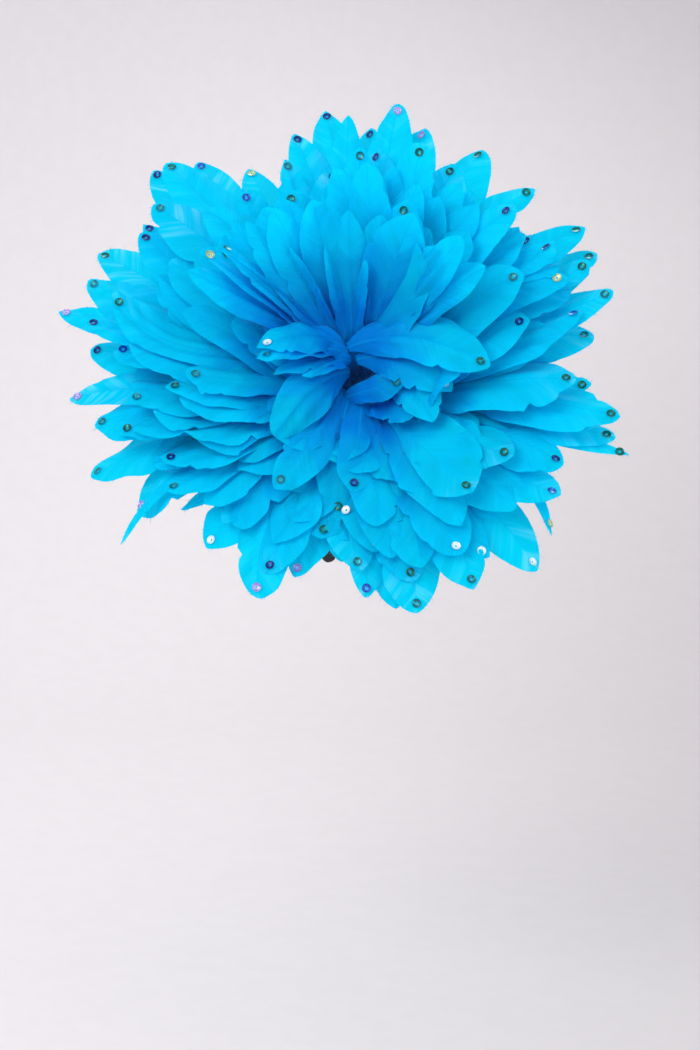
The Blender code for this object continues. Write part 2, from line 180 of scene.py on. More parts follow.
# Reach and clock angle of a tip, where the line of sight through its laid-out place meets
# the surface that lies this far over its row.
def tipPlace(row, across, rise, lift):
    eye = centre + sight * flower["sightDistance"]
    aim = centre + np.array([across * mm, 0, 0]) + sightUp * rise * mm
    ray = unit(eye - aim)
    near, far = 0.45, -0.35
    for _ in range(50):
        middle = (near + far) / 2
        offset = aim + ray * middle - foot
        x, y = offset @ right, offset @ up
        reach, clock = math.hypot(x, y), math.atan2(y, x)
        slope = shellSlope(row, reach, clock)
        if offset @ axis > rowShell(row, reach, clock) + lift * math.hypot(1, slope):
            near = middle
        else:
            far = middle
    return reach + lift * slope / math.hypot(1, slope), clock


# What makes one dyed feather differ from the next.
vane = {
    "camber": 3.4 * mm,  # at the full width, edges turned back
    "fold": 0.10,  # the two sides meet at the quill in a flat V
    "fullWidth": 50 * mm,
    "roll": 0.30,  # the lower edge of each feather comes forward, over the one below
    "leastRoll": 0.45,
    "leftRoll": (0.7, 3.5, 0.6),  # more of it round this clock angle, within this spread
    "rollMore": 0.06,
    "roomShare": 1.25,
    "roomSoft": 8 * mm,
    "rootHalf": 2.0 * mm,
    "middleThick": 0.50 * mm,
    "edgeThick": 0.24 * mm,
    "quillRidge": 0.35 * mm,
    "quillHalf": 0.7 * mm,
    "ruffle": (0.2 * mm, 1.5 * mm),
    "curl": (-5.5 * mm, 4.0 * mm),  # at the tip, usual and spread
    "curlMost": (-13.0 * mm, 6.0 * mm),
    "heave": 2.6 * mm,
    "calm": (1.6 * mm, 0.03, 0.03),  # sway, uneven sides and bulges of the outer rows
    "lively": (4.5 * mm, 0.09, 0.08),
    "lean": (0.13, 0.25),  # usual and most
    "fray": 0.025,
    "stepsAlong": 36,
    "stepsAcross": 14,
    "outerRows": 3,
    "longRows": 6,
    "seed": 7,
}


# On both sides of the flower each feather lies over the one below it, as tiles do.
def shingleRoll(clock):
    more, middle, width = vane["leftRoll"]
    away = math.remainder(clock - middle, 2 * math.pi) / width
    steep = vane["roll"] * (1 + more * math.exp(-(away**2)))
    return -math.copysign(max(abs(math.cos(clock)), vane["leastRoll"]), math.cos(clock)) * steep


def makeFeather(row, number, spec):
    across, rise, width, sequin, bow = spec
    draw = np.random.default_rng([vane["seed"], row, number])
    curl = float(np.clip(draw.normal(*vane["curl"]), *vane["curlMost"]))
    heave = draw.normal(0, vane["heave"])
    reach, clock = tipPlace(row, across, rise, curl + heave)
    narrow = min(width / 40, 1)
    full = rows[row][4] if width > 30 else 1
    sway, uneven, bulge = vane["calm" if row < vane["outerRows"] else "lively"]
    lean, most = vane["lean"]
    made = {
        "row": row,
        "ring": rows[row][0] * mm,
        "reach": reach,
        "clock": clock,
        "half": width * full * mm / 2,
        "bow": bow * mm,
        "sequin": sequin,
        "draw": draw,
        "curl": curl,
        "heave": heave,
        "roll": shingleRoll(clock) + draw.normal(0, vane["rollMore"]),
        "camber": vane["camber"] * draw.uniform(-0.3, 1.7),
        "fold": draw.uniform(0.0, vane["fold"]),
        "ruffle": draw.uniform(*vane["ruffle"]) * narrow,
        "waves": draw.uniform(2.0, 4.5),
        "phase": draw.uniform(0, 2 * math.pi),
        "slim": draw.uniform(2.0, 3.2),
        "blunt": draw.uniform(*((0.56, 0.86) if row < 4 or narrow < 1 else (0.50, 0.90))),
        "sway": draw.normal(0, sway),
        "uneven": draw.normal(0, uneven),
        "bulge": (draw.uniform(0, 2 * math.pi, 2), draw.uniform(0.01, bulge)),
        "tone": rows[row][3] + draw.normal(0, 0.09),
        "seed": draw.uniform(0, 1),
        "lean": 0 if row < 2 or narrow < 1 else float(np.clip(draw.normal(0, lean), -most, most)),
        "pleatDepth": draw.uniform(0.3, 1.6) * mm * narrow,
        "pleats": draw.uniform(2.0, 3.6),
        "pleatStart": draw.uniform(0, 2 * math.pi),
        "neighbours": [],
    }
    made.update(shaped.get((row, number), {}))
    return made


# Feathers near the middle that are turned or ruffled: row, number.
shaped = {
    (8, 0): {"roll": 0.8, "ruffle": 2.6 * mm},
    (8, 4): {"roll": -0.3, "ruffle": 0.8 * mm},
    (8, 5): {"roll": -0.3, "curl": -2 * mm, "ruffle": 0.6 * mm},
    (8, 6): {"roll": 0.25, "fold": 0.14, "camber": 4 * mm, "lean": 0.0},
    (7, 3): {"roll": 0.7, "ruffle": 2.2 * mm},
    (7, 6): {"half": 37 * mm, "tone": 0.72, "roll": 0.05, "lean": 0.0, "ruffle": 0.4 * mm},
    (7, 7): {"roll": -0.2, "ruffle": 0.8 * mm},
    (6, 4): {"half": 36 * mm, "tone": 0.62, "roll": -0.15, "lean": 0.0, "ruffle": 0.5 * mm},
    (5, 6): {"half": 32 * mm, "tone": 0.62, "lean": 0.0, "ruffle": 0.5 * mm},
    (4, 8): {"half": 33 * mm, "tone": 0.66, "lean": 0.0, "ruffle": 0.5 * mm},
    (6, 10): {"half": 38 * mm, "tone": 0.56, "lean": 0.0},
}

# Folded feathers over the flower's heart. Root, bend and tip are across, up and forward in mm
# from the flower's centre, as seen from in front. Turn tilts the face, ruffle is in mm.
heartFolds = [
    # root, bend, tip, width, turn, ruffle, tone, sequin
    ((-14, 38, 10), (-40, 54, 34), (-83, 37, 52), 42, -0.80, 1.8, 0.54, "pearl"),
    ((0, 38, 12), (52, 58, 46), (116, 18, 64), 50, 0.35, 1.6, 0.62, "green"),
    ((-10, 32, 10), (-40, 40, 36), (-86, 25, 50), 30, -0.95, 3.0, 0.48, "teal"),
    ((-8, 26, 8), (-32, 30, 34), (-70, 13, 47), 26, -0.90, 3.2, 0.42, None),
    ((-6, 24, 8), (-20, 27, 30), (-48, 9, 38), 22, -0.70, 2.6, 0.38, None),
    ((6, 26, 8), (44, 36, 38), (82, 0, 56), 44, 0.45, 2.2, 0.50, "pearl"),
    ((24, 6, 10), (50, 10, 42), (68, -30, 56), 40, 0.15, 1.6, 0.72, None),
    ((-6, -8, 8), (16, 0, 34), (44, 6, 44), 26, 0.30, 1.4, 0.36, "teal"),
    ((-8, 14, 4), (-34, 12, 40), (-70, -41, 52), 46, 0.10, 0.5, 0.56, None),
    ((6, -10, 6), (4, -46, 44), (-2, -92, 60), 42, 0.05, 0.5, 0.46, "navy"),
    ((-6, -10, 6), (-16, -44, 40), (-14, -112, 58), 46, -0.10, 0.5, 0.50, "green"),
    ((-12, -6, 4), (-36, -40, 38), (-70, -88, 54), 44, -0.15, 0.5, 0.50, "teal"),
]


# The upright fan behind the heart: where each feather leaves the heart, where it ends.
fanFeathers = [
    # across at the root, tip across, tip up, forward, width, turn, ruffle, tone, sequin
    (-38, -150, 104, 3, 34, -0.50, 1.4, 0.50, None),
    (-34, -137, 122, 8, 24, -1.05, 1.8, 0.46, "straw"),
    (-30, -122, 128, 10, 24, -0.85, 2.2, 0.52, "green"),
    (-27, -112, 118, 12, 18, 1.00, 2.0, 0.42, None),
    (-24, -96, 146, 8, 34, -0.50, 1.3, 0.54, None),
    (-18, -72, 158, 7, 40, -0.20, 0.9, 0.60, None),
    (-16, -60, 126, 12, 16, 0.95, 1.8, 0.44, None),
    (-11, -38, 166, 8, 44, -0.10, 0.8, 0.60, None),
    (-8, -24, 134, 12, 22, -0.70, 1.6, 0.48, None),
    (-3, -6, 154, 8, 36, 0.15, 0.9, 0.56, None),
    (2, 10, 116, 12, 15, 0.90, 1.6, 0.42, None),
    (7, 24, 150, 7, 34, 0.30, 0.9, 0.54, None),
    (22, 77, 124, 8, 46, 0.35, 0.8, 0.40, None),
    (24, 98, 136, 6, 36, 0.35, 1.2, 0.56, None),
    (30, 112, 106, 7, 36, 0.30, 1.2, 0.54, None),
    (13, 50, 150, 15, 56, 0.05, 0.5, 0.48, None),
]


def beforeCentre(place):
    return centre + (np.array([place[0], 0, 0]) + sightUp * place[1] + sight * place[2]) * mm


# The place seen this far across and up from the centre that lies on the row before the last.
def overShell(across, rise, forward):
    row = len(rows) - 2
    reach, clock = tipPlace(row, across, rise, 0)
    return flowerPoint(reach, clock, rowShell(row, reach, clock)) + sight * forward * mm


def featherOnPath(number, path, width, turn, ruffle, tone, sequin):
    feather = makeFeather(len(rows) - 1, number, (60, 60, width, sequin, 0))
    length = np.linalg.norm(path[1] - path[0]) + np.linalg.norm(path[2] - path[1])
    feather.update(path=path, ring=0.0, reach=0.94 * length, half=width * mm / 2)
    feather.update(roll=turn, ruffle=ruffle * mm, tone=tone, neighbours=[None, None])
    feather.update(bow=0, sway=0, lean=0)
    return feather


def heartFeathers():
    made = []
    for number, (root, bend, tip, *look) in enumerate(heartFolds):
        made.append(featherOnPath(300 + number, [beforeCentre(place) for place in (root, bend, tip)], *look))
    for number, (start, across, rise, forward, *look) in enumerate(fanFeathers):
        bend = overShell(start + (across - start) * 0.42, 46 + (rise - 46) * 0.48, forward + 1)
        path = [beforeCentre((start, 44, 3)), bend, overShell(across, rise, forward)]
        made.append(featherOnPath(400 + number, path, *look))
    return made


# Where the rim of the flower lies, in the reach and clock angle of this row.
def rimTips(row):
    specs = [spec for near in feathers[:3] for spec in near if spec[2] > 30]
    return [tipPlace(row, spec[0], spec[1], 0) for spec in specs]


# Feathers in the gaps between two others of a row.
gapFill = {
    "leastGap": 26 * mm,
    "outer": (0.72, 0.90, 0.82),  # least and most share of the reach, most share of the rim's
    "inner": (0.94, 1.30, 0.86),
    "rimClock": 0.22,  # how near in clock angle a rim tip counts
    "widthShare": (0.82, 1.02),
    "under": 1.5 * mm,
    "bare": [(5, -0.70, 0.75), (6, 2.75, 3.30)],  # first row, clock angles in between
}


def gapFeather(row, number, before, after, rim):
    draw = np.random.default_rng([vane["seed"], row, 200 + number])
    turn = math.remainder(after["clock"] - before["clock"], 2 * math.pi)
    reach = min(before["reach"], after["reach"])
    middle = before["clock"] + turn / 2
    bare = [low < middle < high for first, low, high in gapFill["bare"] if row >= first]
    if abs(turn) * reach < gapFill["leastGap"] or any(bare):
        return None
    least, most, rimShare = gapFill["outer" if row < vane["outerRows"] else "inner"]
    if row >= vane["outerRows"]:
        reach = (before["reach"] + after["reach"]) / 2
    made = makeFeather(row, 200 + number, (0, 100, (before["half"] + after["half"]) / mm, None, 0))
    made["clock"] = before["clock"] + turn * draw.uniform(0.35, 0.65)
    made["reach"] = made["ring"] + (reach - made["ring"]) * draw.uniform(least, most)
    near = [
        far for far, clock in rim
        if abs(math.remainder(clock - made["clock"], 2 * math.pi)) < gapFill["rimClock"]
    ]
    made["reach"] = min(made["reach"], rimShare * min(near, default=1))
    made["half"] = (before["half"] + after["half"]) / 2 * draw.uniform(*gapFill["widthShare"])
    made["bow"] = (before["bow"] + after["bow"]) / 2
    made["roll"] = shingleRoll(made["clock"]) + draw.normal(0, vane["rollMore"])
    made["curl"] = before["curl"] - gapFill["under"]
    return made


def clockAlong(feather, share):
    inner = np.clip(share, 0, 1)
    reach = feather["ring"] + (feather["reach"] - feather["ring"]) * share
    swing = 4 * feather["bow"] * inner * (1 - inner)
    swing = swing + feather["sway"] * np.sin(2 * math.pi * inner)
    return reach, feather["clock"] + swing / np.maximum(reach, 1 * mm) + feather["lean"] * (1 - inner)


# The middle line of a feather, its level sideways direction and its face's direction.
def ridgeOnShell(feather, share):
    row = feather["row"]
    reach, clock = clockAlong(feather, share)
    outward = outwardAt(clock)
    flat = unit(axis - outward * shellSlope(row, reach, clock)[..., None])
    return flowerPoint(reach, clock, rowShell(row, reach, clock)), np.cross(axis, outward), flat


def ridgeOnPath(feather, share):
    root, bend, tip = feather["path"]
    t = np.asarray(share)[..., None]
    middle = (1 - t) ** 2 * root + 2 * (1 - t) * t * bend + t**2 * tip
    flow = unit((1 - t) * (bend - root) + t * (tip - bend))
    level = unit(np.cross(flow, sight))
    return middle, level, np.cross(level, flow)


# A place on the middle surface of a feather: share of its length, metres across.
def vanePlace(feather, share, across):
    middle, level, flat = (ridgeOnPath if "path" in feather else ridgeOnShell)(feather, share)
    turn = (feather["roll"] * np.clip(share / 0.25, 0, 1))[..., None]
    side = level * np.cos(turn) + flat * np.sin(turn)
    normal = flat * np.cos(turn) - level * np.sin(turn)
    far = np.abs(across)
    opened = np.clip((share - 0.15) / 0.6, 0, 1)
    lift = -feather["camber"] * (2 * across / vane["fullWidth"]) ** 2 * (0.3 + 0.7 * opened)
    lift = lift - far * feather["fold"]
    wave = np.sin(2 * math.pi * feather["waves"] * share + feather["phase"] + 1.9 * np.sign(across))
    lift = lift + feather["ruffle"] * (far / (20 * mm)) ** 2 * wave
    width = np.maximum(feather["half"] * np.clip(share / 0.5, 0.25, 1), 1 * mm)
    pleat = np.sin(math.pi * feather["pleats"] * (across / width) + feather["pleatStart"] + 1.3 * share)
    lift = lift + feather["pleatDepth"] * np.clip(share / 0.3, 0, 1) * pleat
    rise = feather["curl"] * np.clip((share - 0.4) / 0.6, 0, 1.05) ** 2
    rise = rise + feather["heave"] * np.clip(share, 0, 1)
    middle = middle + flat * rise[..., None]
    return middle + side * across[..., None] + normal * lift[..., None]


def rowFeathers(row):
    if row == len(rows) - 1:
        return heartFeathers()
    made = [makeFeather(row, number, spec) for number, spec in enumerate(feathers[row])]
    made.sort(key=lambda feather: feather["clock"])
    rim = rimTips(row)
    between = [gapFeather(row, i, made[i - 1], feather, rim) for i, feather in enumerate(made)]
    made = [feather for pair in zip(between, made) for feather in pair if feather]
    for i, feather in enumerate(made):
        feather["neighbours"] = [made[i - 1], made[(i + 1) % len(made)]]
    return made


# Half widths towards the two neighbours, along the outline from root to tip.
def outline(feather, share):
    long = feather["row"] < vane["longRows"]
    swell, power, shoulder, stout = (0.27, 1.6, 0.62, 1) if long else (0.26, 1.25, 0.56, 2)
    body = 1 - np.exp(-((share / swell) ** power))
    end = np.clip((share - shoulder) / (1 - shoulder), 0, 1)
    cap = np.clip(1 - end ** feather["slim"], 0, 1) ** feather["blunt"]
    root = vane["rootHalf"] * stout
    half = (root + (feather["half"] - root) * body) * np.clip(cap, 0.012, 1)
    reach, clock = clockAlong(feather, share)
    soft = vane["roomSoft"]
    phases, bulge = feather["bulge"]
    sides = []
    for which, other in enumerate(feather["neighbours"]):
        room = np.full_like(half, 1.0)
        if other:
            there = (reach - other["ring"]) / (other["reach"] - other["ring"])
            turn = np.abs(clock - clockAlong(other, there)[1]) % (2 * math.pi)
            room = vane["roomShare"] * np.minimum(turn, 2 * math.pi - turn) * reach
        # The lesser of the two widths, with a soft change from one to the other.
        width = -soft * np.log(np.exp(-half / soft) + np.exp(-room / soft))
        wearAndHighlight = 1 + feather["uneven"] * (1 - 2 * which) + bulge * np.sin(11 * share + phases[which])
        sides.append(np.clip(np.minimum(width + 3 * mm * (half < room), half) * wearAndHighlight, 0.25 * mm, None))
    return sides


# Uneven barb ends, and a few places where the barbs have parted.
def frayed(feather, share, sides):
    draw = feather["draw"]
    wearAndHighlight = []
    for half in sides:
        short = draw.uniform(0, 1, len(share)) * vane["fray"] * np.clip(share / 0.4, 0.3, 1)
        keep = 1 - short
        for _ in range(draw.integers(0, 3)):
            at = draw.integers(int(len(share) * 0.30), int(len(share) * 0.84))
            depth = draw.uniform(0.06, 0.26)
            keep[at] -= depth
            keep[at + 1] -= depth * 0.45
            keep[at + 2] -= depth * 0.15
        wearAndHighlight.append(half * keep)
    return wearAndHighlight


# Rows of points from one edge over the quill to the other, each row lying along its barbs.
def vaneGrid(feather):
    n, m = vane["stepsAlong"], vane["stepsAcross"]
    edge = 1 - (1 - np.linspace(0, 1, n + 1)) ** 1.45
    length = feather["reach"] - feather["ring"]
    sweep = min(0.95 * feather["half"] / length, 0.22)
    quill = edge - sweep * np.sin(math.pi * edge)
    sides = frayed(feather, edge, outline(feather, edge))
    t = np.linspace(-1, 1, m + 1)
    t = np.sign(t) * np.abs(t) ** 1.35
    far = np.abs(t)
    share = quill[:, None] + (edge - quill)[:, None] * far[None, :] ** 1.15
    half = np.where(t[None, :] < 0, sides[0][:, None], sides[1][:, None])
    share = share - 0.06 * (1 - edge[:, None])  # the quills run into the ring
    return share, half * t[None, :], np.broadcast_to(far, share.shape)


def gridNormals(points):
    along = np.gradient(points, axis=0)
    sideways = np.gradient(points, axis=1)
    return unit(np.cross(along, sideways) + 1e-12)


# One closed feather: its upper and lower places, and what its finish reads at each.
def featherSolid(feather):
    share, across, far = vaneGrid(feather)
    points = vanePlace(feather, share, across)
    feather["grid"], feather["points"] = (share, across), points
    normals = gridNormals(points)
    if (normals[len(normals) // 2, vane["stepsAcross"] // 2] @ axis) < 0:
        normals = -normals
    taper = 1 - 0.7 * share
    ridge = vane["quillRidge"] * taper * np.exp(-((across / (vane["quillHalf"] * taper)) ** 2))
    thick = vane["edgeThick"] + (vane["middleThick"] - vane["edgeThick"]) * (1 - far)
    top = points + normals * (thick / 2 + ridge)[..., None]
    under = points - normals * (thick / 2 + 0.6 * ridge)[..., None]
    length = feather["reach"] - feather["ring"]
    vaneData = np.stack([share * length, across, np.full_like(share, feather["seed"])], -1)
    reach = clockAlong(feather, share)[0]
    # Tone rises from the heart outward: partly the dye, partly painted shade deep round the heart.
    tone = feather["tone"] + 0.75 * np.clip(reach / (230 * mm), 0, 1.1) - 0.33
    return [part.reshape(-1, 3) for part in (top, under, vaneData, np.stack([share, far, tone], -1))]


# Corner numbers of a grid's quads, and of the quads that join the edges of two such grids.
def sheetQuads(n, m):
    i, j = np.meshgrid(np.arange(n), np.arange(m), indexing="ij")
    a = (i * (m + 1) + j).ravel()
    return np.stack([a, a + 1, a + m + 2, a + m + 1], 1)


def rimQuads(n, m):
    count = (n + 1) * (m + 1)
    loop = list(range(m + 1))
    loop += [i * (m + 1) + m for i in range(1, n + 1)]
    loop += [n * (m + 1) + j for j in range(m - 1, -1, -1)]
    loop += [i * (m + 1) for i in range(n - 1, 0, -1)]
    loop = np.array(loop)
    following = np.roll(loop, -1)
    return np.stack([following, loop, loop + count, following + count], 1)


# Where a grid's points lie in their cell of the bake's map.
def mapPlaces(n, m, cell, columns, lines):
    u = (cell % columns + 0.03 + 0.94 * np.linspace(0, 1, n + 1)) / columns
    v = (cell // columns + 0.08 + 0.84 * np.linspace(0, 1, m + 1)) / lines
    return np.stack(np.meshgrid(u, v, indexing="ij"), -1).reshape(-1, 2)


def meshFromArrays(name, places, quads, triangles=np.zeros((0, 3), int)):
    loops = np.concatenate([quads.ravel(), triangles.ravel()])
    sizes = np.concatenate([np.full(len(quads), 4), np.full(len(triangles), 3)])
    mesh = bpy.data.meshes.new(name)
    mesh.vertices.add(len(places))
    mesh.vertices.foreach_set("co", np.asarray(places, np.float32).ravel())
    mesh.loops.add(len(loops))
    mesh.loops.foreach_set("vertex_index", loops.astype(np.int32))
    mesh.polygons.add(len(sizes))
    mesh.polygons.foreach_set("loop_start", (np.cumsum(sizes) - sizes).astype(np.int32))
    mesh.update(calc_edges=True)
    mesh.shade_smooth()
    return mesh


def storeOnPoints(mesh, name, values):
    stored = mesh.attributes.new(name, "FLOAT_VECTOR", "POINT").data
    stored.foreach_set("vector", np.asarray(values, np.float32).ravel())


def addObject(name, data):
    made = bpy.data.objects.new(name, data)
    bpy.context.scene.collection.objects.link(made)
    return made


def placePiece(mesh, material, replaced=()):
    piece = addObject(mesh.name, mesh)
    mesh.materials.append(material)
    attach(piece, "root")
    if replaced:
        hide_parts(*replaced)


def makeRow(row, made, material):
    n, m = vane["stepsAlong"], vane["stepsAcross"]
    columns = 3
    lines = math.ceil(2 * len(made) / columns)
    count = (n + 1) * (m + 1)
    upper, rim = sheetQuads(n, m), rimQuads(n, m)
    lower = upper[:, ::-1]
    places, quads, vanes, shades, corners = [], [], [], [], []
    for k, feather in enumerate(made):
        top, under, vaneData, shadeData = featherSolid(feather)
        places += [top, under]
        vanes += [vaneData] * 2
        shades += [shadeData] * 2
        first = 2 * count * k
        quads += [first + upper, first + count + lower, first + rim]
        upperMap = mapPlaces(n, m, 2 * k, columns, lines)
        lowerMap = mapPlaces(n, m, 2 * k + 1, columns, lines)
        onRim, below = upperMap[rim.ravel() % count], rim.ravel() >= count
        outward = np.sign(onRim - upperMap.mean(0)) * 0.02 / (columns + lines)
        corners += [upperMap[upper.ravel()], lowerMap[lower.ravel()], onRim + outward * below[:, None]]
    mesh = meshFromArrays(f"featherRow{row + 1:02d}", np.concatenate(places), np.concatenate(quads))
    storeOnPoints(mesh, "vane", np.concatenate(vanes))
    storeOnPoints(mesh, "shade", np.concatenate(shades))
    chart = mesh.uv_layers.new(name="OFBake")
    chart.uv.foreach_set("vector", np.concatenate(corners).astype(np.float32).ravel())
    mesh.set_sharp_from_angle(angle=math.radians(60))
    placePiece(mesh, material, [f"feather_row_{row + 1:02d}"])


# A material with its nodes.
class Finish:
    def __init__(self, name):
        self.material = bpy.data.materials.new(name)
        self.material.use_nodes = True
        self.tree = self.material.node_tree
        self.shader = self.tree.nodes["Principled BSDF"]

    def feed(self, socket, value):
        if isinstance(value, bpy.types.NodeSocket):
            self.tree.links.new(value, socket)
        else:
            socket.default_value = value

    def node(self, kind, given=None, **settings):
        made = self.tree.nodes.new(kind)
        for key, value in settings.items():
            setattr(made, key, value)
        for socket, value in (given or {}).items():
            self.feed(made.inputs[socket], value)
        return made

    def shade(self, given):
        for socket, value in given.items():
            self.feed(self.shader.inputs[socket], value)

    def sums(self, operation, *values, clamp=False):
        made = self.node("ShaderNodeMath", dict(enumerate(values)), operation=operation, use_clamp=clamp)
        return made.outputs[0]

    def times(self, first, second):
        return self.sums("MULTIPLY", first, second)

    def timesPlus(self, first, second, more):
        return self.sums("MULTIPLY_ADD", first, second, more)

    def spread(self, *values):  # value, from low, from high, to low, to high
        made = self.node("ShaderNodeMapRange", dict(enumerate(values)), interpolation_type="SMOOTHSTEP")
        return made.outputs[0]

    def blend(self, share, first, second, how="MIX"):
        made = self.node("ShaderNodeMix", {}, data_type="RGBA", blend_type=how)
        for socket, value in ((0, share), (6, first), (7, second)):
            self.feed(made.inputs[socket], value)
        return made.outputs[2]

    def vector(self, *values):
        return self.node("ShaderNodeCombineXYZ", dict(enumerate(values))).outputs[0]

    def parts(self, vector):
        return self.node("ShaderNodeSeparateXYZ", {0: vector}).outputs

    def stored(self, name):
        return self.parts(self.node("ShaderNodeAttribute", attribute_name=name).outputs["Vector"])

    def place(self):
        return self.node("ShaderNodeTexCoord").outputs["Object"]

    def noise(self, at, scale, detail=2.0, rough=0.5):
        given = {"Vector": at, "Scale": scale, "Detail": detail, "Roughness": rough}
        return self.node("ShaderNodeTexNoise", given).outputs["Fac"]

    def dim(self, colour, share):
        return self.blend(1.0, colour, self.vector(share, share, share), "MULTIPLY")

    def bumps(self, height, strength, distance):
        given = {"Strength": strength, "Distance": distance, "Height": height}
        normal = self.node("ShaderNodeBump", given).outputs[0]
        self.shade({"Normal": normal})
        return normal


# Feather colours. The deep one is partly painted shade at the roots and round the heart; the pale and
# bleached ones also paint highlights at the rims and tips.
dyeAndPaintedLight = {
    "deep": (0.0, 0.28, 0.79, 1),
    "middle": (0.0, 0.53, 0.88, 1),
    "bright": (0.0, 0.75, 0.95, 1),
    "pale": (0.0, 0.79, 0.95, 1),
    "changes": ((0.0, 0.50, "middle"), (0.45, 0.85, "bright"), (0.88, 1.30, "pale")),
    "bleachedAndHighlight": (0.50, 0.88, 0.97, 1),
    "quill": (0.0, 0.52, 0.88, 1),
    "roughness": 0.62,
    "glow": 0.56,  # share of light that passes through
}


def featherFinish(name):
    finish = Finish(name)
    spread, times, timesPlus = finish.spread, finish.times, finish.timesPlus
    along, across, seed = finish.stored("vane")
    share, edge, tone = finish.stored("shade")
    far = finish.sums("ABSOLUTE", across)
    seedPlace = timesPlus(finish.sums("SIGN", across), 3.0, times(seed, 50.0))
    barb = timesPlus(far, -0.95, along)  # the same all along one barb

    def grain(first, perFirst, second, perSecond, detail, rough):
        at = finish.vector(times(first, perFirst), times(second, perSecond), seedPlace)
        return finish.noise(at, 1.0, detail, rough)

    fine = grain(barb, 950.0, far, 60.0, 2.0, 0.6)
    clump = grain(barb, 230.0, far, 22.0, 3.0, 0.55)
    patch = grain(along, 28.0, across, 40.0, 2.0, 0.5)
    wide = grain(barb, 60.0, far, 14.0, 2.0, 0.6)
    # From the deep root to the pale tip, with the change drawn out along the barbs: partly the dye, partly
    # painted shade at the roots and painted light at the thin tips.
    ripple, colour = share, dyeAndPaintedLight["deep"]
    for value, strength in ((clump, 0.22), (patch, 0.40), (tone, 1.0)):
        ripple = timesPlus(finish.sums("SUBTRACT", value, 0.5), strength, ripple)
    for low, high, shade in dyeAndPaintedLight["changes"]:
        colour = finish.blend(spread(ripple, low, high), colour, dyeAndPaintedLight[shade])
    # Pale streaks along the barbs near the outer tips: partly bleached dye, partly painted highlight.
    streak = spread(timesPlus(clump, 0.45, wide), 0.68, 0.98)
    wearAndHighlight = times(spread(share, 0.62, 1.0), spread(tone, 0.80, 1.05))
    wearAndHighlight = times(wearAndHighlight, spread(finish.sums("FRACT", times(seed, 7.3)), 0.35, 0.9, 0.08, 0.75))
    # Painted highlight together with bleaching, on some feathers' outer tips.
    colour = finish.blend(times(streak, wearAndHighlight), colour, dyeAndPaintedLight["bleachedAndHighlight"])
    colour = finish.dim(colour, spread(wide, 0.25, 0.75, 0.96, 1.03))
    # Thin darker lines between barbs, a paler rim of painted light shining through the thin edges, and the
    # quill.
    colour = finish.dim(colour, spread(fine, 0.30, 0.62, 0.95, 1.01))
    # Painted highlight along the thin edges.
    colour = finish.blend(spread(edge, 0.90, 1.0, 0.0, 0.16), colour, dyeAndPaintedLight["pale"])
    quillHalf = timesPlus(share, -0.0006, 0.0009)
    quill = spread(finish.sums("SUBTRACT", quillHalf, far), -0.0002, 0.0003, 0.0, 0.32)
    colour = finish.blend(quill, colour, dyeAndPaintedLight["quill"])
    roughness = spread(clump, 0.2, 0.8, dyeAndPaintedLight["roughness"] - 0.08, dyeAndPaintedLight["roughness"] + 0.15)
    finish.shade({"Base Color": colour, "Specular IOR Level": 0.05, "Roughness": roughness})
    normal = finish.bumps(timesPlus(clump, 0.8, times(fine, 0.45)), 0.13, 0.0006)
    through = finish.node("ShaderNodeBsdfTranslucent", {"Color": colour, "Normal": normal})
    glow = spread(share, 0.2, 1.0, dyeAndPaintedLight["glow"] - 0.1, dyeAndPaintedLight["glow"] + 0.12)
    given = {0: glow, 1: finish.shader.outputs[0], 2: through.outputs[0]}
    mixed = finish.node("ShaderNodeMixShader", given)
    finish.feed(finish.tree.nodes["Material Output"].inputs["Surface"], mixed.outputs[0])
    return finish.material


# Closed three-sided tapering strands, each from its root, first direction, bend and length.
def strandMesh(name, strands, radius, steps):
    roots, directions, bends, lengths = (np.array(column) for column in zip(*strands))
    count = len(roots)
    s = np.linspace(0, 1, steps + 1)[None, :, None]
    paths = roots[:, None] + directions[:, None] * lengths[:, None, None] * s
    paths = paths + bends[:, None] * lengths[:, None, None] * s**2
    flow = unit(np.gradient(paths, axis=1))
    helper = np.where(np.abs(flow[..., 2:]) < 0.8, [[[0, 0, 1.0]]], [[[1.0, 0, 0]]])
    first = unit(np.cross(flow, helper))
    second = np.cross(flow, first)
    width = radius * (1 - 0.8 * s)
    turns = [2 * math.pi * k / 3 for k in range(3)]
    rings = [paths + (first * math.cos(turn) + second * math.sin(turn)) * width for turn in turns]
    places = np.stack(rings, 2).reshape(-1, 3)
    perStrand = 3 * (steps + 1)
    sides = [(0, 1, 4, 3), (1, 2, 5, 4), (2, 0, 3, 5)]
    quads = np.array([[3 * i + corner for corner in side] for i in range(steps) for side in sides])
    triangles = np.array([(2, 1, 0), (3 * steps, 3 * steps + 1, 3 * steps + 2)])
    starts = (np.arange(count) * perStrand)[:, None, None]
    mesh = meshFromArrays(name, places, (starts + quads).reshape(-1, 4), (starts + triangles).reshape(-1, 3))
    return mesh, np.repeat(np.arange(count), perStrand), np.tile(np.repeat(s.ravel(), 3), count)


# A place on a feather's edge, with the directions outward and forward along the edge.
def edgePlace(feather, i, left):
    points = feather["points"]
    j, inner = (0, 2) if left else (-1, -3)
    return points[i, j], unit(points[i, j] - points[i, inner]), unit(points[i + 1, j] - points[i, j])


# Loose barb ends round the tips and edges.
barbEnds = {
    "perFeather": 26,
    "length": (1.2 * mm, 5.0 * mm),
    "radius": 0.13 * mm,
    "steps": 3,
    "sunk": 1.0 * mm,
    "narrow": 8 * mm,  # feathers with less half width have half as many
    "seed": 21,
}


